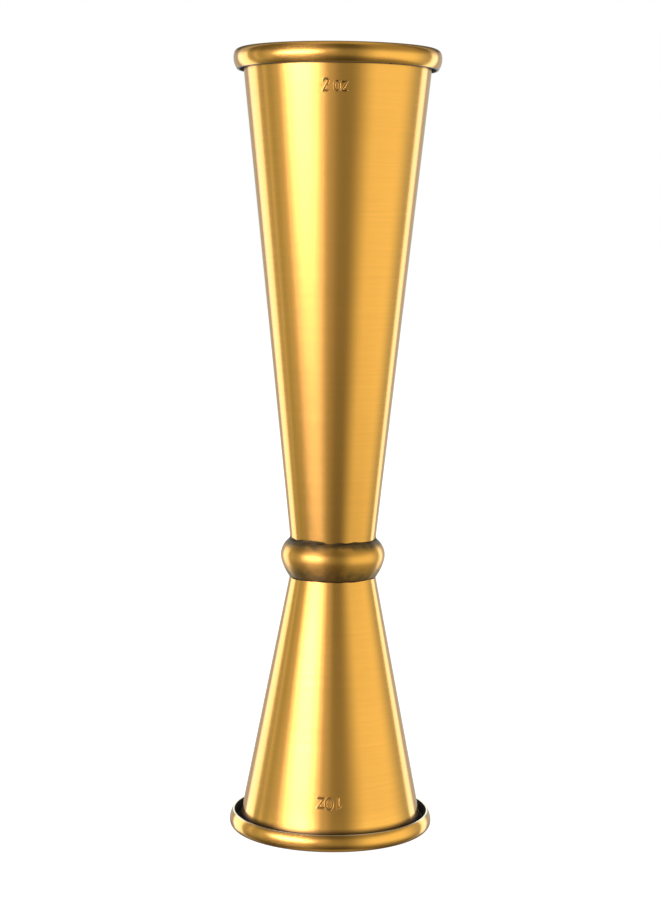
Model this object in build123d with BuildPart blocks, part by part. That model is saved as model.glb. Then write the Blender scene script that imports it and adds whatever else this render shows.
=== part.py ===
from build123d import *
import os
from dataclasses import dataclass
from math import acos, asin, atan2, cos, degrees, pi, radians, sin, sqrt, tan

# Double-ended bar jigger, standing on the rim of its small cup with the large cup's mouth up.
# The origin is at the centre of the small cup's rim and +Z runs up the axis. The marks face -Y.
# Lengths are in millimetres, angles in degrees and volumes in cubic millimetres.

# Overall
overall_height = 159.6
joint_height = 55.6  # middle of the weld between the two cup floors
sheet = 0.8
weld_thickness, weld_radius = 0.3, 5.5

# Both cups
floor_corner_outside, floor_corner_inside = 1.6, 0.8
crest_land = 0.5  # width of the flat lapped on each rim's crest
lip_radius = 3.8  # the rolled lip's gentle curve down from the tight roll over the crest
lip_edge = 0.34  # width of the ground edge that the lip ends in

# Waist collar: a hollow bead pressed from sheet, round above and tapered below
bead_radius = 3.94
bead_widest_radius, bead_widest_height = 10.70, 57.09
bead_turn_below = 15.0  # how far the round part runs on below the widest place
bead_foot_height, bead_foot_radius = 52.85, 9.05
bead_blank_radius = 7.0  # inner edge of the blank, before the cup walls trim it
braze_leg = 0.35

# Stamped capacity marks, and the measuring lines inside the cups
mark_depth, mark_stroke = 0.12, 0.32
line_depth, line_width = 0.1, 0.3
fluid_ounce = 29573.5


@dataclass
class Cup:
    """A conical cup. Heights are measured from the floor's underside towards the mouth."""

    height: float
    floor_radius: float  # where wall and floor would meet in a sharp corner
    wall_angle: float
    rim_radius: float
    lip_start: float  # where the lip takes over from the roll, as an angle up from the rim's widest place
    lip_drop: float  # from the crest back to the lip's edge
    mark_drop: float  # from the crest to the mark's base line
    lines: tuple  # measuring lines inside, in fluid ounces
    section: Plane  # X is the radius and Y the height in the cup

    @property
    def slope(self):
        return tan(radians(self.wall_angle))

    def wall_radius(self, height):
        return self.floor_radius + height * self.slope

    def inside_radius(self, height):
        return self.wall_radius(height) - sheet / cos(radians(self.wall_angle))

    def capacity(self, height):
        """Volume held when the cup is filled to a height."""
        low, high = self.inside_radius(sheet), self.inside_radius(height)
        return pi * (height - sheet) * (low**2 + low * high + high**2) / 3

    def fill_height(self, volume):
        """Height to which a volume fills the cup."""
        low = self.inside_radius(sheet)
        high = (low**3 + 3 * self.slope * volume / pi) ** (1 / 3)
        return sheet + (high - low) / self.slope


large_floor_height = joint_height + weld_thickness / 2
large = Cup(
    height=overall_height - large_floor_height,
    floor_radius=8.28,
    wall_angle=6.1,
    rim_radius=21.0,
    lip_start=14.0,
    lip_drop=4.1,
    mark_drop=9.3,
    lines=(1.0, 1.5),
    section=Plane(origin=(0, 0, large_floor_height), x_dir=(1, 0, 0), z_dir=(0, -1, 0)),
)

small_floor_height = joint_height - weld_thickness / 2
small = Cup(
    height=small_floor_height,
    floor_radius=8.30,
    wall_angle=11.0,
    rim_radius=20.9,
    lip_start=2.0,
    lip_drop=3.6,
    mark_drop=10.25,
    lines=(0.5, 0.75),
    section=Plane(origin=(0, 0, small_floor_height), x_dir=(1, 0, 0), z_dir=(0, 1, 0)),
)


def stroke(start, end):
    """A straight stroke of a mark, with round ends."""
    start, end = Vector(*start), Vector(*end)
    run = end - start
    with Locations((start + end) / 2):
        SlotCenterToCenter(run.length, mark_stroke, rotation=degrees(atan2(run.Y, run.X)))


def letter_o(left, width, height):
    """An oval ring."""
    with Locations((left + width / 2, height / 2)):
        Ellipse((width + mark_stroke) / 2, (height + mark_stroke) / 2)
        Ellipse((width - mark_stroke) / 2, (height - mark_stroke) / 2, mode=Mode.SUBTRACT)


def letter_z(left, width, height):
    """A top bar, a diagonal and a base bar."""
    corners = [(left, height), (left + width, height), (left, 0), (left + width, 0)]
    for start, end in zip(corners, corners[1:]):
        stroke(start, end)


def digit_one(left, height):
    """An upright with a short flag at its top."""
    flag = 0.42
    stroke((left + flag, 0), (left + flag, height))
    stroke((left, height - flag), (left + flag, height))


def digit_two(left, height):
    """A round hook that runs down in a straight line to the base bar."""
    hook = 0.47
    tip_angle, leave_angle = 172, -32
    centre = Vector(left + hook, height - hook)
    arc = CenterArc(centre, hook, leave_angle, tip_angle - leave_angle, mode=Mode.PRIVATE)
    SlotArc(arc, mark_stroke)
    stroke(arc @ 0, (left, 0))
    stroke((left, 0), (left + 2 * hook, 0))


def large_mark_outline():
    """2 oz, on a base line at zero."""
    digit_two(-2.74, 2.28)
    letter_o(-0.62, 1.06, 1.80)
    letter_z(0.89, 0.92, 1.66)


def small_mark_outline():
    """1 OZ, on a base line at zero."""
    digit_one(-2.00, 2.16)
    letter_o(-0.50, 1.42, 2.22)
    letter_z(1.22, 1.22, 1.92)


def stamped_metal(cup, outline):
    """What a stamped mark takes away: its outline, cut to the same depth all over the curved wall."""
    stand_off, margin = 25.0, 4.0
    base_line = cup.height - cup.mark_drop
    base = cup.section.origin + cup.section.y_dir * base_line
    outwards = Vector(0, -1, 0)
    front = Plane(base + outwards * stand_off, x_dir=cup.section.y_dir.cross(outwards), z_dir=outwards)
    skin = mark_depth / cos(radians(cup.wall_angle))
    low, high = base_line - margin, base_line + margin
    with BuildPart() as metal:
        with BuildSketch(front):
            outline()
        extrude(amount=-stand_off / 2)
        with BuildSketch(cup.section):
            with BuildLine():
                Polyline(
                    (cup.wall_radius(low) - skin, low),
                    (cup.wall_radius(low) + margin, low),
                    (cup.wall_radius(high) + margin, high),
                    (cup.wall_radius(high) - skin, high),
                    close=True,
                )
            make_face()
        revolve(axis=Axis.Z, mode=Mode.INTERSECT)
    return metal.part


def drawn_cup(cup, mark):
    """A deep-drawn cup: closed floor, conical wall and a rim rolled outwards that leaves an open gap."""
    lean, start = radians(cup.wall_angle), radians(cup.lip_start)

    # The roll is tangent to the wall's inner face and reaches the crest.
    roll_reach = cup.rim_radius - lip_radius * (1 - cos(start))
    spread = (roll_reach - cup.wall_radius(cup.height)) * cos(lean)
    roll = (sheet + spread) / (1 + (cos(start) - cup.slope) * cos(lean))
    lapped = roll - sqrt(roll**2 - (crest_land / 2) ** 2)
    centre = Vector(roll_reach - roll * cos(start), cup.height + lapped - roll)
    turn = 180 - cup.wall_angle - cup.lip_start

    # The lip is tangent to the roll and reaches the rim's largest radius.
    lip_centre = centre + Vector(cos(start), sin(start)) * (roll - lip_radius)
    lip_y = cup.height - cup.lip_drop
    lip_end = degrees(asin((lip_y - lip_centre.Y) / lip_radius))

    with BuildPart() as shell:
        with BuildSketch(cup.section) as outline:
            with BuildLine():
                roll_core = CenterArc(centre, roll - sheet, cup.lip_start, turn)
                roll_skin = CenterArc(centre, roll, cup.lip_start, turn)
                lip_skin = CenterArc(lip_centre, lip_radius, lip_end, cup.lip_start - lip_end)
                Polyline((0, sheet), (0, 0), (cup.floor_radius, 0), roll_core @ 1)
                Polyline(roll_core @ 0, lip_skin @ 0 - Vector(lip_edge, 0), lip_skin @ 0)
                Polyline(roll_skin @ 1, (cup.inside_radius(sheet), sheet), (0, sheet))
            make_face()
            underside, floor_top = outline.vertices().group_by(Axis.Y)[:2]
            fillet(underside.sort_by(Axis.X)[-1], floor_corner_outside)
            fillet(floor_top.sort_by(Axis.X)[-1], floor_corner_inside)
        revolve(axis=Axis.Z)

        # The crest is lapped flat, so that the jigger stands steadily on either rim.
        crest = cup.section.origin + cup.section.y_dir * cup.height
        split(bisect_by=Plane(crest, z_dir=cup.section.y_dir), keep=Keep.BOTTOM)

        for ounces in cup.lines:
            level = cup.fill_height(ounces * fluid_ounce)
            with BuildSketch(cup.section):
                with Locations((cup.inside_radius(level), level)):
                    Rectangle(2 * line_depth, line_width, rotation=-cup.wall_angle)
            revolve(axis=Axis.Z, mode=Mode.SUBTRACT)

        add(mark, mode=Mode.SUBTRACT)
    return shell


os.makedirs("parts", exist_ok=True)

# Large cup, mouth up
upper_cup = drawn_cup(large, stamped_metal(large, large_mark_outline))
upper_cup.part.label = "upper_cup"
export_step(upper_cup.part, "parts/upper_cup.step")

# Small cup, mouth down
lower_cup = drawn_cup(small, stamped_metal(small, small_mark_outline))
lower_cup.part.label = "lower_cup"
export_step(lower_cup.part, "parts/lower_cup.step")

# Weld that holds the two floors together, out of sight inside the collar
with BuildPart(Plane.XY.offset(joint_height)) as cup_joint_weld:
    Cylinder(weld_radius, weld_thickness)
cup_joint_weld.part.label = "cup_joint_weld"
export_step(cup_joint_weld.part, "parts/cup_joint_weld.step")

# Where the collar's ends meet the cup walls, as points of the XZ section
def large_wall_point(z):
    return Vector(large.wall_radius(z - large_floor_height), z)


def small_wall_point(z):
    return Vector(small.wall_radius(small_floor_height - z), z)


bead_centre = Vector(bead_widest_radius - bead_radius, bead_widest_height)
wall_gap = (large_wall_point(bead_widest_height).X - bead_centre.X) * cos(radians(large.wall_angle))
bead_turn_above = degrees(acos(wall_gap / bead_radius)) - large.wall_angle
bead_foot = Vector(bead_foot_radius, bead_foot_height)

# Waist collar
with BuildPart() as waist_collar:
    with BuildSketch(Plane.XZ):
        with BuildLine():
            shoulder = CenterArc(bead_centre, bead_radius, -bead_turn_below, bead_turn_below + bead_turn_above)
            TangentArc(shoulder @ 0, bead_foot, tangent=(shoulder % 0) * -1)
            bead_top = shoulder @ 1
            Polyline(bead_top, (bead_blank_radius, bead_top.Y), (bead_blank_radius, bead_foot.Y), bead_foot)
        make_face()
        offset(amount=-sheet, mode=Mode.SUBTRACT)

        # The cup walls trim the blank, so that both ends of the bead bear on them.
        with BuildLine():
            Polyline(
                (0, bead_foot.Y - sheet),
                small_wall_point(bead_foot.Y - sheet),
                small_wall_point(joint_height),
                large_wall_point(joint_height),
                large_wall_point(bead_top.Y + sheet),
                (0, bead_top.Y + sheet),
                close=True,
            )
        make_face(mode=Mode.SUBTRACT)
    revolve(axis=Axis.Z)
waist_collar.part.label = "waist_collar"
export_step(waist_collar.part, "parts/waist_collar.step")

# Braze in the corner between the collar's shoulder and the large cup
with BuildPart() as collar_braze_upper:
    with BuildSketch(Plane.XZ):
        with BuildLine():
            leg_turn = degrees(braze_leg / bead_radius)
            bed = CenterArc(bead_centre, bead_radius, bead_turn_above - leg_turn, leg_turn)
            Polyline(bed @ 1, large_wall_point(bead_top.Y + braze_leg), bed @ 0)
        make_face()
    revolve(axis=Axis.Z)
collar_braze_upper.part.label = "collar_braze_upper"
export_step(collar_braze_upper.part, "parts/collar_braze_upper.step")

# Braze in the corner under the collar's foot, on the small cup
with BuildPart() as collar_braze_lower:
    with BuildSketch(Plane.XZ):
        with BuildLine():
            wall_end = small_wall_point(bead_foot.Y - braze_leg)
            Polyline(small_wall_point(bead_foot.Y), wall_end, bead_foot, close=True)
        make_face()
    revolve(axis=Axis.Z)
collar_braze_lower.part.label = "collar_braze_lower"
export_step(collar_braze_lower.part, "parts/collar_braze_lower.step")

for name, cup in (("large", large), ("small", small)):
    print(name, "cup holds", round(cup.capacity(cup.height) / fluid_ounce, 3), "fl oz to the brim")
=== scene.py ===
from dataclasses import dataclass
from math import acos, asin, atan2, cos, degrees, pi, radians, sin, sqrt, tan

import bpy
import numpy as np
from mathutils import Matrix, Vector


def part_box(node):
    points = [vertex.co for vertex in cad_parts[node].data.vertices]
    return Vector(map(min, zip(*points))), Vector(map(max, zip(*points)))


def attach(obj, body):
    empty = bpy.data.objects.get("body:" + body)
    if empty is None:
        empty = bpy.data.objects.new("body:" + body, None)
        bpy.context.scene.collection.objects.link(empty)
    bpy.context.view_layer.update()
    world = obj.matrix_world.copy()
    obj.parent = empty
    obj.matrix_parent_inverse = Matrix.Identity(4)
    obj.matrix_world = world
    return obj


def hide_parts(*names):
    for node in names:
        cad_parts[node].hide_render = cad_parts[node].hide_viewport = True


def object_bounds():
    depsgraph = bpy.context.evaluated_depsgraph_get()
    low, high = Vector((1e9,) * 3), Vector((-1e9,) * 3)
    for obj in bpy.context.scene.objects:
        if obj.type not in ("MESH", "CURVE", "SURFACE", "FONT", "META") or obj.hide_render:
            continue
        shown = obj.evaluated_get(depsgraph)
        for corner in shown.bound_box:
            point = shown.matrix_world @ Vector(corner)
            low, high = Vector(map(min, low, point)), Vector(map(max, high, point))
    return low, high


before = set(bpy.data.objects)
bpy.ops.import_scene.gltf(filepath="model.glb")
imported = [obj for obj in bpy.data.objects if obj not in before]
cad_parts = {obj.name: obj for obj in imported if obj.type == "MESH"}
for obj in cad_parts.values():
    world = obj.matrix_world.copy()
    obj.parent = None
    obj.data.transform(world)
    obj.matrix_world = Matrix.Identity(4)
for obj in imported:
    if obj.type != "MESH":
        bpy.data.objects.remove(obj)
cad_low, cad_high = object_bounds()

# The object's lengths are millimetres until a mesh is made. The frame and the studio are in metres.
MM = 0.001
FLUID_OUNCE = 29573.5  # cubic millimetres

# Sheet metal
SHEET = 0.8
FLOOR_CORNER_OUTSIDE, FLOOR_CORNER_INSIDE = 1.6, 0.8
CREST_LAND = 0.5  # width of the flat on a rim's crest
LIP_RADIUS = 3.8
LIP_EDGE, LIP_ROUND = 0.34, 0.08  # width of the lip's ground edge, and the rounds beside it
LINE_WIDTH, LINE_DEPTH = 0.3, 0.1  # the measuring lines inside

# Stamped marks, with a burr beside each stroke
MARK_STROKE, MARK_DEPTH = 0.36, 0.13
BURR_HEIGHT = 0.12  # as a share of the mark's depth
BURR_PLACE = 0.62  # from the middle of the stroke, as a share of the stroke
BURR_WIDTH = 0.05
MARK_MARGIN = 0.6  # how far round a mark its fine mesh goes

# Waist collar: a bead that is round above, and tapers below an angle under its widest place
BEAD_RADIUS, BEAD_TURN_BELOW = 3.94, 15.0
BEAD_WIDEST_HEIGHT, BEAD_FOOT_RADIUS = 57.09, 9.05
BEAD_CLEAR = 0.02  # least gap between the bead's inner skin and a cup

# Braze in the corners between the collar and the cups
BRAZE_LEG = 0.35
BRAZE_TUCK, BRAZE_SINK = 0.15, 0.01  # how far it goes in under the collar, and into the wall
BRAZE_SAG = 0.9
BRAZE_WAVES = range(2, 23)  # how many times each wave of its edges goes round

# How far finishes, heat tint and painted shade reach before they have faded out
POLISH_INSIDE, POLISH_OUTSIDE = 3.0, 4.0
GAP_SHADE, GAP_ABOVE_LIP = 0.15, 0.1
TINT_SHADE_BELOW_TOP, TINT_SHADE_ABOVE_FOOT = 2.1, 4.2
TINT_SHADE_FOOT = 0.72  # how dark the foot's heat tint and painted shade are, where the top is 1

# What a material reads from a mesh at each point, by name. These are shares from 0 to 1, except that
# smooth is 1 on a rim and may be more on a wall that is smoother than the rims.
# Three shares paint shade into the colour. One is near-black in the rims' gaps, on the large lip's edge and
# inside the collar. One is darker gold in the stamped strokes. One is brown at the collar's ends, together
# with heat tint.
SHARES = ("smooth", "tarnish", "browned", "bare", "stamp_shade")

# Mesh fineness: numbers of steps, and lengths of steps
COLUMNS = 384
ROLL_STEPS, LIP_STEPS, LIP_ROUND_STEPS = 56, 32, 5
CORNER_OUTSIDE_STEPS, CORNER_INSIDE_STEPS = 12, 8
BEAD_STEPS, BEAD_INNER_STEPS, BRAZE_STEPS = 40, 24, 7
LETTER_STEPS, LINE_STEPS = 24, 16
MARK_STEP, EDGE_STEP, GAP_STEP = 0.04, 0.1, 0.4
WALL_STEP, FLOOR_STEP = 1.5, 1.0
FLOOR_HUB = 0.4  # radius of the last ring before a floor's middle
HOLD = 0.05  # how close a row stands beside each end of a straight, to hold the shading
SAME_POINT = 0.000001  # points closer than this are one


def box_mm(node):
    """Lowest and highest corner of a CAD node, in millimetres."""
    low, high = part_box(node)
    return np.array(low) / MM, np.array(high) / MM


@dataclass
class Cup:
    """A conical cup. Heights run from its floor's underside towards its mouth."""

    node: str
    up: int  # 1 with the mouth up, -1 with the mouth down
    floor_radius: float  # where the outside wall would meet the floor's underside, without their round
    wall_angle: float  # degrees from the axis
    lip_start: float  # where the lip takes over from the roll, as an angle up from the rim's widest place
    lip_drop: float  # from the crest to the lip's ground edge
    edge_tarnish: float  # how much painted shade darkens that edge
    gap_polish: float  # how smooth the outside wall is beside the rim's gap, where a rim is 1
    mark_drop: float  # from the crest to the mark's base line
    lines: tuple  # what the cup holds up to each measuring line, in ounces

    def __post_init__(self):
        low, high = box_mm(self.node)
        self.floor_z = low[2] if self.up > 0 else high[2]
        self.height = high[2] - low[2]
        self.rim_radius = round(max(high[0], -low[0]), 2)
        self.slope = tan(radians(self.wall_angle))
        self.lean = cos(radians(self.wall_angle))
        self.mark_height = self.height - self.mark_drop

    def wall_radius(self, height):
        return self.floor_radius + height * self.slope

    def inside_radius(self, height):
        return self.wall_radius(height) - SHEET / self.lean

    def fill_height(self, volume):
        """Height to which a volume fills the cup."""
        low = self.inside_radius(SHEET)
        high = (low**3 + 3 * self.slope * volume / pi) ** (1 / 3)
        return SHEET + (high - low) / self.slope


large = Cup(
    node="upper_cup",
    up=1,
    floor_radius=8.28,
    wall_angle=6.1,
    lip_start=14.0,
    lip_drop=4.1,
    edge_tarnish=1.0,
    gap_polish=0.4,
    mark_drop=9.3,
    lines=(1.0, 1.5),
)
small = Cup(
    node="lower_cup",
    up=-1,
    floor_radius=8.30,
    wall_angle=11.0,
    lip_start=2.0,
    lip_drop=3.6,
    edge_tarnish=0.0,
    gap_polish=2.0,
    mark_drop=10.25,
    lines=(0.5, 0.75),
)


# ---------------------------------------------------------------- outlines


def arc(centre, radius, start, end, steps):
    """Points along an arc, angles in degrees."""
    angles = np.radians(np.linspace(start, end, steps + 1))
    return np.column_stack([centre[0] + radius * np.cos(angles), centre[1] + radius * np.sin(angles)])


def straight(start, end, step):
    """Points along a line, about a step apart, with a close one beside each end."""
    start, end = np.array(start, float), np.array(end, float)
    length = np.linalg.norm(end - start)
    hold = min(HOLD, length / 8)
    inner = np.linspace(hold, length - hold, max(2, int(length / step) + 1))
    along = np.concatenate([[0.0], inner, [length]]) / length
    return start + along[:, None] * (end - start)


def turn_about(centre, start, end, steps):
    """Angles of the shorter way round a centre from start to end, in radians."""
    first, last = start - centre, end - centre
    turn = atan2(first[0] * last[1] - first[1] * last[0], first @ last)
    return atan2(first[1], first[0]) + np.linspace(0, turn, steps + 1)


def corner(before, at, after, radius, steps):
    """Points of a small round where two lines meet."""
    before, at, after = (np.array(p, float) for p in (before, at, after))
    u = (before - at) / np.linalg.norm(before - at)
    v = (after - at) / np.linalg.norm(after - at)
    half = acos(np.clip(u @ v, -1, 1)) / 2
    centre = at + (u + v) / np.linalg.norm(u + v) * radius / sin(half)
    angles = turn_about(centre, at + u * radius / tan(half), at + v * radius / tan(half), steps)
    return centre + radius * np.column_stack([np.cos(angles), np.sin(angles)])


def tangent_arc(start, direction, end, inset, steps):
    """An arc from start along a direction to end, moved inwards by an inset."""
    chord = end - start
    normal = np.array([direction[1], -direction[0]])
    radius = (chord @ chord) / (2 * (chord @ normal))
    centre = start + normal * radius
    angles = turn_about(centre, start, end, steps)
    return centre + (abs(radius) - inset) * np.column_stack([np.cos(angles), np.sin(angles)])


def look(points, **given):
    """Outline points, each followed by its shares: those given by name, and nothing for the others."""
    shares = [np.broadcast_to(given.get(share, 0.0), len(points)) for share in SHARES]
    return np.column_stack([points, *shares])


def chain(*runs):
    """Joins runs of points end to end and drops repeats. Shares ride along with their points."""
    points = np.concatenate(runs)
    keep = np.ones(len(points), bool)
    keep[1:] = np.linalg.norm(np.diff(points[:, :2], axis=0), axis=1) > SAME_POINT
    return points[keep]


def fade(distance, reach):
    """One at no distance, falling smoothly to nothing at the reach."""
    share = np.clip(1 - distance / reach, 0, 1)
    return share * share * (3 - 2 * share)


# ---------------------------------------------------------------- marks


def digit_one(left, height):
    flag = 0.42
    return [np.array([(left, height - flag), (left + flag, height), (left + flag, 0)])]


def digit_two(left, height):
    hook, tip_angle, leave_angle = 0.47, 172, -32
    bowl = arc((left + hook, height - hook), hook, tip_angle, leave_angle, LETTER_STEPS)
    return [np.concatenate([bowl, [(left, 0), (left + 2 * hook, 0)]])]


def letter_o(left, width, height):
    turn = np.linspace(0, 2 * pi, 2 * LETTER_STEPS + 1)
    centre = np.array([left + width / 2, height / 2])
    return [centre + np.column_stack([np.cos(turn) * width, np.sin(turn) * height]) / 2]


def letter_z(left, width, height):
    return [np.array([(left, height), (left + width, height), (left, 0), (left + width, 0)])]


LARGE_MARK = (
    digit_two(left=-2.74, height=2.28)
    + letter_o(left=-0.62, width=1.06, height=1.80)
    + letter_z(left=0.89, width=0.92, height=1.66)
)
SMALL_MARK = (
    digit_one(left=-2.00, height=2.16)
    + letter_o(left=-0.50, width=1.42, height=2.22)
    + letter_z(left=1.22, width=1.22, height=1.92)
)


def stamped_depth(strokes, across, along):
    """Depth of the stamp at each point of the unrolled wall: a round groove with a faint raised edge."""
    point = np.stack([across, along], -1)
    nearest = np.full(across.shape, np.inf)
    for line in strokes:
        for start, end in zip(line, line[1:]):
            run = end - start
            share = np.clip(((point - start) @ run) / (run @ run), 0, 1)
            gap = np.linalg.norm(point - (start + share[..., None] * run), axis=-1)
            nearest = np.minimum(nearest, gap)
    inside = np.clip(nearest / (MARK_STROKE / 2), 0, 1)
    groove = MARK_DEPTH * (1 - inside**2) ** 1.5
    past_burr = (nearest - MARK_STROKE * BURR_PLACE) / BURR_WIDTH
    return groove - BURR_HEIGHT * MARK_DEPTH * np.exp(-(past_burr**2))


# ---------------------------------------------------------------- meshes


def lathe(name, outline, angles, material, closed):
    """A surface of revolution. The outline holds the radius, height and shares of each row at each angle.

    With closed, the outline is a loop. Otherwise a point on the axis closes each end.
    """
    rows, columns = outline.shape[:2]
    radius, height = outline[..., 0] * MM, outline[..., 1] * MM
    places = np.stack([radius * np.sin(angles), -radius * np.cos(angles), height], -1)
    verts = places.reshape(-1, 3).tolist()
    index = np.arange(rows * columns).reshape(rows, columns)
    last = rows if closed else rows - 1
    this, after = index, np.roll(index, -1, axis=0)
    quads = np.stack([this, np.roll(this, -1, axis=1), np.roll(after, -1, axis=1), after], -1)[:last]
    faces = quads.reshape(-1, 4).tolist()
    if not closed:
        for row, way in ((0, -1), (rows - 1, 1)):
            pole = len(verts)
            verts.append([0.0, 0.0, float(height[row, 0])])
            ring = index[row].tolist()
            faces += [[pole, *pair[::way]] for pair in zip(ring, ring[1:] + ring[:1])]
    mesh = bpy.data.meshes.new(name)
    mesh.from_pydata(verts, [], faces)
    mesh.update()
    mesh.polygons.foreach_set("use_smooth", np.ones(len(mesh.polygons), bool))
    mesh.materials.append(material)
    for share, values in zip(SHARES, np.moveaxis(outline[..., 2:], -1, 0)):
        points = np.zeros(len(verts))
        points[: rows * columns] = values.ravel()
        mesh.attributes.new(share, "FLOAT", "POINT").data.foreach_set("value", points)
    piece = bpy.data.objects.new(name, mesh)
    bpy.context.scene.collection.objects.link(piece)
    return flip_if_inside_out(piece)


def even_columns():
    return np.linspace(-pi, pi, COLUMNS + 1)[:-1]


def all_round(points, columns):
    """The same outline point at every column."""
    return np.repeat(points[:, None], columns, axis=1)


def flip_if_inside_out(piece):
    """Turns the faces outwards if the mesh's signed volume is negative."""
    mesh = piece.data
    mesh.calc_loop_triangles()
    co = np.array([v.co for v in mesh.vertices])
    tri = np.array([t.vertices[:] for t in mesh.loop_triangles])
    a, b, c = co[tri[:, 0]], co[tri[:, 1]], co[tri[:, 2]]
    if np.einsum("ij,ij->i", a, np.cross(b, c)).sum() < 0:
        mesh.flip_normals()
    return piece


# ---------------------------------------------------------------- cups


def rim_outline(cup):
    """A rolled rim, from the inside wall over the crest, down the lip and back up under the roll."""
    # The roll is tangent to the wall's inner face and reaches the crest, where it is lapped flat.
    start = radians(cup.lip_start)
    roll_reach = cup.rim_radius - LIP_RADIUS * (1 - cos(start))
    spread = (roll_reach - cup.wall_radius(cup.height)) * cup.lean
    roll = (SHEET + spread) / (1 + (cos(start) - cup.slope) * cup.lean)
    lapped = roll - sqrt(roll**2 - (CREST_LAND / 2) ** 2)
    centre = np.array([roll_reach - roll * cos(start), cup.height + lapped - roll])
    over = arc(centre, roll, 180 - cup.wall_angle, cup.lip_start, ROLL_STEPS)
    over[:, 1] = np.minimum(over[:, 1], cup.height)
    under = arc(centre, roll - SHEET, cup.lip_start, 180 - cup.wall_angle, LIP_STEPS)

    # The lip is tangent to the roll and reaches the rim's largest radius. It stops at its edge's round.
    lip_centre = centre + np.array([cos(start), sin(start)]) * (roll - LIP_RADIUS)
    lip_end = degrees(asin((cup.height - cup.lip_drop - lip_centre[1]) / LIP_RADIUS))
    lip = arc(lip_centre, LIP_RADIUS, cup.lip_start, lip_end, LIP_STEPS)
    tip_out, tip_in = lip[-1], lip[-1] - (LIP_EDGE, 0)
    lip = lip[np.linalg.norm(lip - tip_out, axis=1) > 1.5 * LIP_ROUND]
    round_out = corner(lip[-1], tip_out, tip_in, LIP_ROUND, LIP_ROUND_STEPS)
    round_in = corner(tip_out, tip_in, under[0], LIP_ROUND, LIP_ROUND_STEPS)
    # Painted shade darkens the gap under the roll. On the large cup it also darkens the lip's ground edge,
    # whose grazing reflection would be bright.
    return chain(
        look(over, smooth=1),
        look(lip, smooth=1),
        look(round_out, bare=1, tarnish=cup.edge_tarnish),
        look(straight(round_out[-1], round_in[0], EDGE_STEP), bare=1, tarnish=cup.edge_tarnish),
        look(round_in, bare=1, tarnish=np.linspace(cup.edge_tarnish, 1, len(round_in))),
        look(straight(round_in[-1], under[0], GAP_STEP), tarnish=1),
        look(under, tarnish=1),
    )


def inside_wall(cup, low, high):
    """The inside wall from its lower to its upper end, sunk a little at each measuring line."""
    levels = [cup.fill_height(ounces * FLUID_OUNCE) for ounces in cup.lines]
    close = np.linspace(-LINE_WIDTH, LINE_WIDTH, LINE_STEPS + 1)
    rows = straight((0, low), (0, high), WALL_STEP)[1:-1, 1]
    rows = np.unique(np.concatenate([rows] + [level + close for level in levels]))
    sunk = sum(LINE_DEPTH * np.exp(-(((rows - level) / (LINE_WIDTH / 3)) ** 4)) for level in levels)
    return np.column_stack([cup.inside_radius(rows) + sunk, rows])


def outside_wall(cup, low, high, strokes):
    """The outside wall from its upper to its lower end, with close rows across the mark."""
    top = max(line[:, 1].max() for line in strokes)
    close = np.arange(cup.mark_height - MARK_MARGIN, cup.mark_height + top + MARK_MARGIN, MARK_STEP)
    rows = straight((0, low), (0, high), WALL_STEP)[1:-1, 1]
    rows = np.unique(np.concatenate([rows, close]))[::-1]
    return np.column_stack([cup.wall_radius(rows), rows])


def floor_corners(cup, rim_in, rim_out):
    """The rounds between floor and wall, inside and outside."""
    wall_foot = (cup.inside_radius(SHEET), SHEET)
    inner = corner((0, SHEET), wall_foot, rim_in, FLOOR_CORNER_INSIDE, CORNER_INSIDE_STEPS)
    outer = corner(rim_out, (cup.floor_radius, 0), (0, 0), FLOOR_CORNER_OUTSIDE, CORNER_OUTSIDE_STEPS)
    return inner, outer


def cup_section(cup, strokes):
    """A cup's section in three runs: floor to rim's end, the outside wall, and back to the floor's middle.

    The rim's smooth finish fades out on both walls, and painted shade darkens the wall inside the rim's
    open gap.
    """
    rim = rim_outline(cup)
    rim_in, rim_out = rim[0, :2], rim[-1, :2]
    inner_corner, outer_corner = floor_corners(cup, rim_in, rim_out)
    inside = inside_wall(cup, inner_corner[-1, 1], rim_in[1])
    outside = outside_wall(cup, outer_corner[0, 1], rim_out[1], strokes)
    before_wall = chain(
        look(straight((FLOOR_HUB, SHEET), inner_corner[0], FLOOR_STEP)),
        look(inner_corner),
        look(inside, smooth=fade(rim_in[1] - inside[:, 1], POLISH_INSIDE)),
        rim,
    )
    below_gap = cup.height - cup.lip_drop + GAP_ABOVE_LIP - outside[:, 1]
    polish = cup.gap_polish * fade(below_gap, POLISH_OUTSIDE)
    # Painted shade darkens the outside wall just inside the rim's gap.
    wall = look(outside, smooth=polish, tarnish=fade(below_gap, GAP_SHADE))
    after_wall = chain(
        look(outer_corner),
        look(straight(outer_corner[-1], (FLOOR_HUB, 0.0), FLOOR_STEP)),
    )
    return before_wall, wall, after_wall


def mark_columns(cup, strokes):
    """Angles of a cup's columns, with close ones across the mark on the front."""
    reach = max(abs(line[:, 0]).max() for line in strokes) + MARK_MARGIN
    front = reach / cup.wall_radius(cup.mark_height)
    close = np.linspace(-front, front, int(2 * reach / MARK_STEP))
    return np.concatenate([close, np.linspace(front, 2 * pi - front, COLUMNS)[1:-1]])


def stamp_mark(wall, cup, strokes, angles):
    """Sinks the mark into the rows of the outside wall, at right angles to it."""
    turn = np.where(angles > pi, angles - 2 * pi, angles)
    across = cup.up * turn * wall[..., 0]
    depth = stamped_depth(strokes, across, (wall[..., 1] - cup.mark_height) / cup.lean)
    wall[..., 0] -= depth * cup.lean
    wall[..., 1] += depth * sin(radians(cup.wall_angle))
    # The share of painted shade in the strokes, darker where the stroke is deeper.
    wall[..., 2 + SHARES.index("stamp_shade")] = np.clip(depth / MARK_DEPTH, 0, 1)


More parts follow.
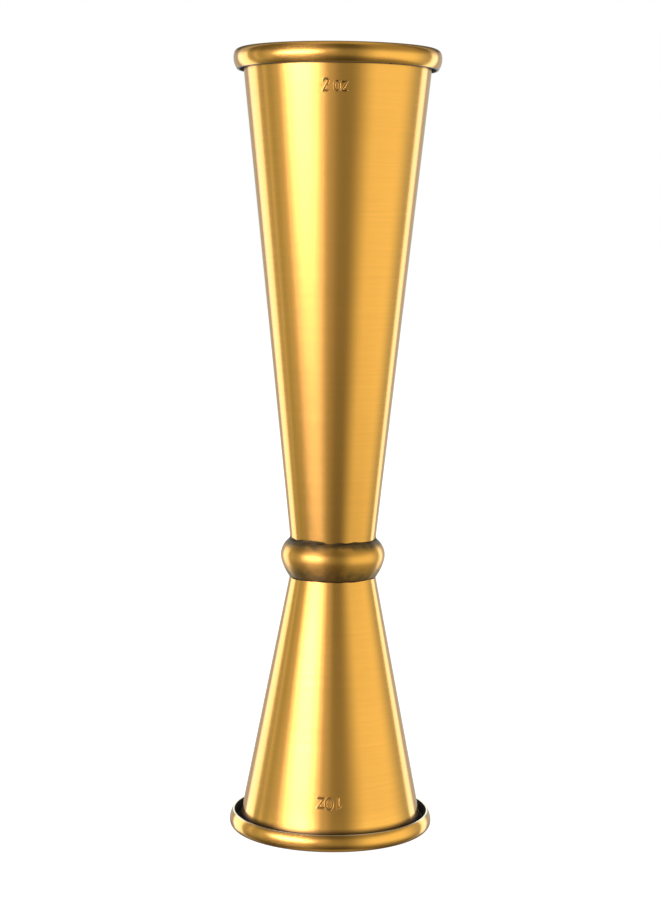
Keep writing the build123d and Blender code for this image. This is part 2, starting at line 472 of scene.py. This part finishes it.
def cup_piece(name, cup, strokes, material):
    """One drawn cup with its rolled rim, stamped mark and measuring lines."""
    before_wall, wall, after_wall = cup_section(cup, strokes)
    angles = mark_columns(cup, strokes)
    outline = all_round(np.concatenate([before_wall, wall, after_wall]), len(angles))
    stamp_mark(outline[len(before_wall) : -len(after_wall)], cup, strokes, angles)
    outline[..., 1] = cup.floor_z + cup.up * outline[..., 1]
    return lathe(name, outline, angles, material, closed=False)


def wall_point(cup, z):
    """Radius of a cup's outside wall at a height of the whole object."""
    return cup.wall_radius((z - cup.floor_z) * cup.up)


# ---------------------------------------------------------------- collar


bead_low, bead_high = box_mm("waist_collar")
bead_centre = np.array([round(bead_high[0], 2) - BEAD_RADIUS, BEAD_WIDEST_HEIGHT])
wall_gap = (wall_point(large, BEAD_WIDEST_HEIGHT) - bead_centre[0]) * large.lean
bead_turn_above = degrees(acos(wall_gap / BEAD_RADIUS)) - large.wall_angle
bead_foot = np.array([BEAD_FOOT_RADIUS, bead_low[2]])


def bead_point(turn):
    """A point of the bead's outer skin, at an angle up from its widest place."""
    return arc(bead_centre, BEAD_RADIUS, turn, turn, 0)[0]


def bead_skin(inset, steps):
    """The collar's section from its top down to its foot, at an inset from the outer skin."""
    shoulder = arc(bead_centre, BEAD_RADIUS - inset, bead_turn_above, -BEAD_TURN_BELOW, steps)
    down = np.array([-sin(radians(BEAD_TURN_BELOW)), -cos(radians(BEAD_TURN_BELOW))])
    return chain(shoulder, tangent_arc(bead_point(-BEAD_TURN_BELOW), down, bead_foot, inset, steps))


def inside_bead(point):
    """Whether a point of the inner skin is above the foot's sheet and clear of the cups."""
    cup = large if point[1] > large.floor_z else small
    return point[1] > bead_foot[1] + SHEET and point[0] > wall_point(cup, point[1]) + BEAD_CLEAR


def collar_piece(material):
    """The hollow bead, with both ends bearing on the cup walls."""
    outer = bead_skin(0, BEAD_STEPS)
    inner = np.array([point for point in bead_skin(SHEET, BEAD_INNER_STEPS) if inside_bead(point)])
    top, foot = inner[0], inner[-1]
    wall_foot = (wall_point(small, bead_foot[1]), bead_foot[1])
    # Both ends are darkened brown. This is partly heat tint from the brazing, and partly painted shade
    # where the bead meets the cups and where its foot faces down.
    below_top, above_foot = outer[0, 1] - outer[:, 1], outer[:, 1] - outer[-1, 1]
    tint_shade_foot = TINT_SHADE_FOOT * fade(above_foot, TINT_SHADE_ABOVE_FOOT)
    points = chain(
        look(outer, browned=np.maximum(fade(below_top, TINT_SHADE_BELOW_TOP), tint_shade_foot)),
        # Painted shade under the bead's foot and over its hidden inner skin.
        look(straight(bead_foot, wall_foot, EDGE_STEP), tarnish=1),
        look([(wall_point(small, foot[1]), foot[1])], tarnish=1),
        look(inner[::-1], tarnish=1),
        look([(wall_point(large, top[1]), top[1])], tarnish=1),
    )
    return lathe("collar", all_round(points, COLUMNS), even_columns(), material, closed=True)


# ---------------------------------------------------------------- braze


def waver(angles, seed, size):
    """A smooth closed wobble round the axis, between plus and minus its size."""
    rng = np.random.default_rng(seed)
    total = np.zeros_like(angles)
    for count in BRAZE_WAVES:
        total += np.sin(count * angles + rng.uniform(0, 2 * pi)) * rng.normal() / sqrt(count)
    return size * total / np.abs(total).max()


def braze_piece(name, hidden, wall_end, skin_end, seed, wander, material):
    """A hollow fillet that runs between two ends, both of which wander a little round the ring."""
    angles = even_columns()
    up_wall = 1 + waver(angles, seed, wander)
    along_skin = 1 + waver(angles, seed + 1, wander)
    hidden, wall_end, skin_end = (np.array(p) for p in (hidden, wall_end, skin_end))
    top = hidden + up_wall[:, None] * (wall_end - hidden)
    side = hidden + along_skin[:, None] * (skin_end - hidden)
    rows = [np.repeat(hidden[None], COLUMNS, axis=0)]
    for share in np.linspace(0, 1, BRAZE_STEPS + 1):
        flat = top + share * (side - top)
        rows.append(flat + BRAZE_SAG * share * (1 - share) * (hidden - flat))
    return lathe(name, np.array(rows), angles, material, closed=True)


def upper_braze(material):
    """Braze in the corner between the bead's shoulder and the large cup."""
    top = bead_point(bead_turn_above)
    wall_height = top[1] + BRAZE_LEG
    return braze_piece(
        "braze_ring_upper",
        hidden=top - (BRAZE_TUCK, BRAZE_TUCK),
        wall_end=(wall_point(large, wall_height) - BRAZE_SINK, wall_height),
        skin_end=bead_point(bead_turn_above - degrees(BRAZE_LEG / BEAD_RADIUS)),
        seed=3,
        wander=0.45,
        material=material,
    )


def lower_braze(material):
    """Braze under the bead's foot, on the small cup."""
    foot_height = bead_foot[1]
    wall_height = foot_height - BRAZE_LEG
    return braze_piece(
        "braze_ring_lower",
        hidden=(wall_point(small, foot_height) - BRAZE_TUCK, foot_height + BRAZE_TUCK),
        wall_end=(wall_point(small, wall_height) - BRAZE_SINK, wall_height),
        skin_end=bead_foot,
        seed=7,
        wander=0.15,
        material=material,
    )


# ---------------------------------------------------------------- materials


GOLD = (0.95, 0.468, 0.083)
# What covers the gold where a share is 1, from the lowest layer up: bare steel on ground edges, painted
# shade in stamped strokes, browning that is partly heat tint and partly painted shade, and painted shade in
# the gaps
OVER_GOLD = {
    "bare": (0.88, 0.74, 0.52),
    # painted shade in the stamped strokes
    "stamp_shade": (0.36, 0.22, 0.08),
    # partly heat tint, partly painted shade at the collar's ends
    "browned": (0.22, 0.15, 0.055),
    # painted shade: near-black where shade falls in the gaps
    "tarnish": (0.07, 0.05, 0.03),
}
ADDED_ROUGHNESS = {"tarnish": 0.25, "browned": 0.15, "stamp_shade": 0.3}
SMOOTHED = 0.8  # roughness where smooth is 1, as a share of the roughness where it is 0
LINE_ROUGHNESS, CLOUD_ROUGHNESS = 0.10, 0.06  # how much each varies the roughness, from end to end

# Noise scales, per metre. Lines round the axis come from noise squeezed along it.
FINE_LINES, BROAD_LINES = (60, 60, 9000), (25, 25, 1700)
CLOUD_SCALE, BLOTCH_SCALE = 70.0, 600.0
FINE_LINE_SHARE = 0.6

# Bump distances in metres, and how much the lumps of flowed metal vary its roughness
LINE_HEIGHT, LUMP_HEIGHT = 0.00002, 0.0001
LUMP_ROUGHNESS = 0.3


class Nodes:
    """A short way to add and link shader nodes."""

    def __init__(self, tree):
        self.tree = tree
        tree.nodes.clear()

    def add(self, kind, inputs=None, **settings):
        node = self.tree.nodes.new(kind)
        for key, value in settings.items():
            setattr(node, key, value)
        for key, value in (inputs or {}).items():
            self.feed(node.inputs[key], value)
        return node

    def feed(self, socket, value):
        """Links an input to another node's output, or sets it to a value."""
        if isinstance(value, bpy.types.NodeSocket):
            self.tree.links.new(value, socket)
        else:
            socket.default_value = value

    def math(self, operation, *values):
        return self.add("ShaderNodeMath", dict(enumerate(values)), operation=operation).outputs[0]

    def ramp(self, value, start, end, low=0.0, high=1.0):
        """A smooth step from low to high as the value goes from start to end."""
        inputs = {"Value": value, "From Min": start, "From Max": end, "To Min": low, "To Max": high}
        return self.add("ShaderNodeMapRange", inputs, interpolation_type="SMOOTHSTEP").outputs[0]

    def coordinates(self, kind):
        return self.add("ShaderNodeTexCoord").outputs[kind]

    def squeezed(self, place, scale):
        return self.add("ShaderNodeMapping", {"Vector": place, "Scale": scale}).outputs[0]

    def noise(self, place, scale, detail):
        inputs = {"Vector": place, "Scale": scale, "Detail": detail}
        return self.add("ShaderNodeTexNoise", inputs).outputs["Fac"]

    def scaled(self, colour, amount):
        return self.add("ShaderNodeVectorMath", {0: colour, "Scale": amount}, operation="SCALE").outputs[0]

    def plus(self, colour, other):
        return self.add("ShaderNodeVectorMath", {0: colour, 1: other}, operation="ADD").outputs[0]

    def share(self, name):
        """What the mesh holds under a name at each point, or nothing where it holds none."""
        return self.add("ShaderNodeAttribute", attribute_name=name).outputs["Fac"]

    def blend(self, share, colour, other):
        """One colour going over into another."""
        inputs = {"Factor": share, "A": colour, "B": other}
        node = self.add("ShaderNodeMix", data_type="VECTOR")
        for socket in node.inputs:
            if socket.name in inputs and socket.enabled:
                self.feed(socket, inputs[socket.name])
        return next(socket for socket in node.outputs if socket.enabled)

    def metal(self, colour, roughness, normal, more=None):
        """Ends a material in a metal surface."""
        inputs = {"Base Color": colour, "Metallic": 1.0, "Roughness": roughness, "Normal": normal}
        shader = self.add("ShaderNodeBsdfPrincipled", {**inputs, **(more or {})})
        self.add("ShaderNodeOutputMaterial", {"Surface": shader.outputs[0]})


def new_material(name):
    material = bpy.data.materials.new(name)
    material.use_nodes = True
    return material, Nodes(material.node_tree)


def blotchy(n, place, browned):
    """Heat tint and painted shade with a blotchy edge: noise is added where there is some of it."""
    uneven = n.math("SUBTRACT", n.noise(place, BLOTCH_SCALE, detail=4.0), 0.5)
    blotches = n.math("MULTIPLY", uneven, n.ramp(browned, 0.0, 0.5))
    return n.ramp(n.math("ADD", browned, blotches), 0.0, 1.0)


def turned_roughness(n, roughness, broad, cloud, shares):
    """Varies with the broad lines and in clouds, is less where smooth and more under painted shade, heat
    tint or stamping.
    """
    least = roughness - (LINE_ROUGHNESS + CLOUD_ROUGHNESS) / 2
    rough = n.math("MULTIPLY_ADD", cloud, CLOUD_ROUGHNESS, least)
    rough = n.math("MULTIPLY_ADD", broad, LINE_ROUGHNESS, rough)
    rough = n.math("MULTIPLY", rough, n.math("MULTIPLY_ADD", shares["smooth"], SMOOTHED - 1, 1.0))
    for share, added in ADDED_ROUGHNESS.items():
        rough = n.math("MULTIPLY_ADD", shares[share], added, rough)
    return rough


def turned_tint(n, lines, line_colour, shares):
    """Gold, a little darker between the lines, and whatever covers it."""
    tint = n.scaled(GOLD, n.ramp(lines, 0.3, 0.7, low=1 - line_colour))
    for share, colour in OVER_GOLD.items():
        tint = n.blend(shares[share], tint, colour)
    return tint


def turned_metal(name, roughness, anisotropy, line_strength, line_colour):
    """Gold-coated steel with fine lines round the axis, which spread highlights along it."""
    material, n = new_material(name)
    place = n.coordinates("Object")
    shares = {share: n.share(share) for share in SHARES}
    shares["browned"] = blotchy(n, place, shares["browned"])
    fine = n.noise(n.squeezed(place, FINE_LINES), 1.0, detail=3.0)
    broad = n.noise(n.squeezed(place, BROAD_LINES), 1.0, detail=4.0)
    cloud = n.noise(place, CLOUD_SCALE, detail=2.0)
    fine_part = n.math("MULTIPLY", fine, FINE_LINE_SHARE)
    lines = n.math("ADD", fine_part, n.math("MULTIPLY", broad, 1 - FINE_LINE_SHARE))
    bump = n.add("ShaderNodeBump", {"Height": lines, "Strength": line_strength, "Distance": LINE_HEIGHT})
    brushing = {
        "Anisotropic": anisotropy,
        "Anisotropic Rotation": 0.25,
        "Tangent": n.add("ShaderNodeTangent", direction_type="RADIAL", axis="Z").outputs[0],
    }
    tint = turned_tint(n, lines, line_colour, shares)
    n.metal(tint, turned_roughness(n, roughness, broad, cloud, shares), bump.outputs[0], brushing)
    return material


def flowed_metal(name, lumps, stain, dark, light, lump_strength, roughness):
    """Metal that has melted and set again: lumpy, and stained from a dark colour to a light one.

    Lumps and stain are noises, each given by its scale and detail. Dark and light each give a level of the
    stain and its colour there.
    """
    material, n = new_material(name)
    place = n.coordinates("Object")
    height = n.noise(place, *lumps)
    ramp = n.add("ShaderNodeValToRGB", {"Fac": n.noise(place, *stain)})
    for element, (level, colour) in zip(ramp.color_ramp.elements, (dark, light)):
        element.position = level
        element.color = (*colour, 1)
    bump = n.add("ShaderNodeBump", {"Height": height, "Strength": lump_strength, "Distance": LUMP_HEIGHT})
    rough = n.math("MULTIPLY_ADD", height, LUMP_ROUGHNESS, roughness)
    n.metal(ramp.outputs[0], rough, bump.outputs[0])
    return material


def braze_metal():
    """Dark filler metal, browned by the heat."""
    return flowed_metal(
        "braze",
        lumps=(1500.0, 4.0),
        stain=(350.0, 3.0),
        dark=(0.35, (0.07, 0.045, 0.016)),
        light=(0.7, (0.20, 0.13, 0.05)),
        lump_strength=0.6,
        roughness=0.45,
    )


def weld_metal():
    """Bare grey weld with heat tints, inside the waist."""
    return flowed_metal(
        "weld",
        lumps=(900.0, 5.0),
        stain=(900.0, 5.0),
        dark=(0.3, (0.20, 0.17, 0.15)),
        light=(0.7, (0.45, 0.42, 0.38)),
        lump_strength=0.5,
        roughness=0.35,
    )


# ---------------------------------------------------------------- studio


@dataclass
class Light:
    """One part of the light tent: a window with soft edges that glows in one colour.

    It runs from left to right round the object, in degrees from the camera at 0, through the right at 90,
    to behind at 180. Each edge fades over soft degrees to either side. The window stands on the tent's wall
    between two heights, in metres. A share of its light, rest, comes from far off instead, at every height.
    """

    colour: tuple
    left: float
    right: float
    soft: float
    low: float = -0.05
    high: float = 0.24
    rest: float = 0.25


LIGHTS = [
    # All round
    Light((0.34, 0.36, 0.39), -400, 400, 10, low=-0.14, high=0.28, rest=0.28),
    # The bright box at the left front, and weak light on both sides of it
    Light((17.5, 17.7, 26.0), -64, -25, 16, low=0.085, high=0.15, rest=0.018),
    Light((0.25, 0.25, 0.36), -85, -62, 6),
    Light((0.24, 0.24, 0.32), -40, -3, 8),
    Light((0.40, 0.40, 0.54), -30, -2, 8, low=0.12, high=0.28, rest=0.0),
    # The broad box at the right
    Light((0.82, 0.84, 0.78), 33, 103, 18, low=-0.17, high=0.22, rest=0.30),
    # Strips behind both sides, which light the object's edges, and a thin one at the left
    Light((1.26, 1.48, 2.15), -141, -117, 3, low=-0.25),
    Light((1.20, 1.38, 1.85), 125, 141, 3, low=-0.25),
    Light((0.25, 0.26, 0.33), -104, -98, 1.5),
    # Dim walls from the sides to the back
    Light((0.16, 0.20, 0.20), 100, 190, 15, low=-0.30),
    Light((0.14, 0.17, 0.15), -190, -78, 8, low=-0.30),
    # Straight behind, in two halves that meet at 180
    Light((0.92, 1.05, 1.0), -190, -172, 4, low=-0.30, high=0.30, rest=0.0),
    Light((0.92, 1.05, 1.0), 172, 190, 4, low=-0.30, high=0.30, rest=0.0),
]
TENT_RADIUS, TENT_LOW, TENT_HIGH, TENT_SIDES = 0.60, -0.60, 1.00, 96
EDGE_HEIGHT = 0.04  # half the height over which a window fades out at its top and bottom
CAP_LIGHT = (0.36, 0.38, 0.40)  # from overhead and, a little weaker, from underneath
WHITE = (1, 1, 1)


def make_camera():
    """The eye stands level with the large cup and looks slightly down, with a long lens."""
    distance, height = 0.430, 0.12287
    look_down, look_left, roll = radians(5.87), radians(0.106), radians(0.58)
    data = bpy.data.cameras.new("camera")
    data.sensor_width, data.lens = 36.0, 84.34
    data.clip_start, data.clip_end = 0.01, 50.0
    camera = bpy.data.objects.new("camera", data)
    bpy.context.scene.collection.objects.link(camera)
    turn = Matrix.Rotation(look_left, 4, "Z") @ Matrix.Rotation(pi / 2 - look_down, 4, "X")
    camera.matrix_world = Matrix.Translation((0, -distance, height)) @ turn @ Matrix.Rotation(roll, 4, "Z")
    bpy.context.scene.camera = camera


def side_window(n, light, around):
    """How far a direction is inside a light's left and right edges."""
    left = n.ramp(around, light.left - light.soft, light.left + light.soft)
    return n.math("MULTIPLY", left, n.ramp(around, light.right + light.soft, light.right - light.soft))


def azimuth(n, axes):
    """The angle round the object in degrees, from the camera's side at 0."""
    return n.math("DEGREES", n.math("ARCTAN2", axes["X"], n.math("MULTIPLY", axes["Y"], -1.0)))


def make_world():
    """The light from far off: the rest of each window's light, and caps over and under the open tent.

    The camera sees plain white instead.
    """
    world = bpy.data.worlds.new("surroundings")
    bpy.context.scene.world = world
    world.use_nodes = True
    n = Nodes(world.node_tree)
    axes = n.add("ShaderNodeSeparateXYZ", {"Vector": n.coordinates("Generated")}).outputs
    around, height = azimuth(n, axes), n.math("DEGREES", n.math("ARCSINE", axes["Z"]))
    colour = (0, 0, 0)
    for light in LIGHTS:
        if light.rest:
            glow = n.math("MULTIPLY", side_window(n, light, around), light.rest)
            colour = n.plus(colour, n.scaled(light.colour, glow))

    # The sides dim towards straight up and straight down, where the caps take over. Heights are in degrees.
    side_below, side_above = n.ramp(height, -60, -30, low=0.3), n.ramp(height, 80, 45, low=0.6)
    cap_above, cap_below = n.ramp(height, 45, 75), n.ramp(height, -50, -80, high=0.8)
    colour = n.scaled(colour, n.math("MULTIPLY", side_below, side_above))
    colour = n.plus(colour, n.scaled(CAP_LIGHT, n.math("ADD", cap_above, cap_below)))
    colour = n.blend(n.add("ShaderNodeLightPath").outputs["Is Camera Ray"], colour, WHITE)
    back = n.add("ShaderNodeBackground", {"Color": colour})
    n.add("ShaderNodeOutputWorld", {"Surface": back.outputs[0]})


def tent_cloth():
    """Glows with the light of every window, and lets through what comes from far off."""
    material, n = new_material("tent")
    axes = n.add("ShaderNodeSeparateXYZ", {"Vector": n.coordinates("Object")}).outputs
    around, height = azimuth(n, axes), axes["Z"]
    colour = (0, 0, 0)
    for light in LIGHTS:
        bottom = n.ramp(height, light.low - EDGE_HEIGHT, light.low + EDGE_HEIGHT)
        top = n.ramp(height, light.high + EDGE_HEIGHT, light.high - EDGE_HEIGHT)
        glow = n.math("MULTIPLY", n.math("MULTIPLY", bottom, top), side_window(n, light, around))
        colour = n.plus(colour, n.scaled(light.colour, n.math("MULTIPLY", glow, 1 - light.rest)))
    glow = n.add("ShaderNodeEmission", {"Color": colour}).outputs[0]
    clear = n.add("ShaderNodeBsdfTransparent").outputs[0]
    both = n.add("ShaderNodeAddShader", {0: glow, 1: clear}).outputs[0]
    n.add("ShaderNodeOutputMaterial", {"Surface": both})
    return material


def floor_paint():
    """Pale and nearly even when seen from above, and clear from below."""
    material, n = new_material("floor")
    paint = n.add("ShaderNodeBsdfDiffuse", {"Color": (0.32, 0.32, 0.32, 1)}).outputs[0]
    glow = n.add("ShaderNodeEmission", {"Color": (*WHITE, 1), "Strength": 0.97}).outputs[0]
    pale = n.add("ShaderNodeAddShader", {0: paint, 1: glow}).outputs[0]
    clear = n.add("ShaderNodeBsdfTransparent").outputs[0]
    below = n.add("ShaderNodeNewGeometry").outputs["Backfacing"]
    mix = n.add("ShaderNodeMixShader", {0: below, 1: pale, 2: clear})
    n.add("ShaderNodeOutputMaterial", {"Surface": mix.outputs[0]})
    return material


def studio_piece(name, verts, faces, material):
    """An object of the studio, made from its corners and faces."""
    mesh = bpy.data.meshes.new(name)
    mesh.from_pydata(verts, [], faces)
    mesh.materials.append(material)
    piece = bpy.data.objects.new(name, mesh)
    bpy.context.scene.collection.objects.link(piece)
    return piece


def make_tent():
    """The tent's round wall, open above and below. The camera looks through it, and it casts no shadow."""
    turns = np.linspace(0, 2 * pi, TENT_SIDES + 1)[:-1]
    ring = [(TENT_RADIUS * cos(turn), TENT_RADIUS * sin(turn)) for turn in turns]
    verts = [(x, y, z) for z in (TENT_LOW, TENT_HIGH) for x, y in ring]
    sides = [(i, (i + 1) % TENT_SIDES) for i in range(TENT_SIDES)]
    faces = [(a, b, b + TENT_SIDES, a + TENT_SIDES) for a, b in sides]
    tent = studio_piece("tent", verts, faces, tent_cloth())
    tent.visible_camera = tent.visible_shadow = False


def make_floor():
    """A pale floor just under the object, kept out of the metal's reflections."""
    half, gap = 3.0, 0.0002
    verts = [(-half, -half, 0), (half, -half, 0), (half, half, 0), (-half, half, 0)]
    floor = studio_piece("floor", verts, [(0, 1, 2, 3)], floor_paint())
    floor.location.z = cad_low.z - gap
    floor.visible_glossy = False


bpy.context.scene.view_settings.view_transform = "Standard"
make_camera()
make_world()
make_tent()
make_floor()

# ---------------------------------------------------------------- the object

satin = turned_metal("satin_gold", roughness=0.24, anisotropy=0.9, line_strength=0.18, line_colour=0.08)
plain = turned_metal("plain_gold", roughness=0.30, anisotropy=0.85, line_strength=0.05, line_colour=0.04)
braze = braze_metal()

pieces = {
    "upper_cup": cup_piece("large_cup", large, LARGE_MARK, satin),
    "lower_cup": cup_piece("small_cup", small, SMALL_MARK, satin),
    "waist_collar": collar_piece(plain),
    "collar_braze_upper": upper_braze(braze),
    "collar_braze_lower": lower_braze(braze),
}

for node, piece in pieces.items():
    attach(piece, "root")
    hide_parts(node)

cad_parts["cup_joint_weld"].material_slots[0].material = weld_metal()
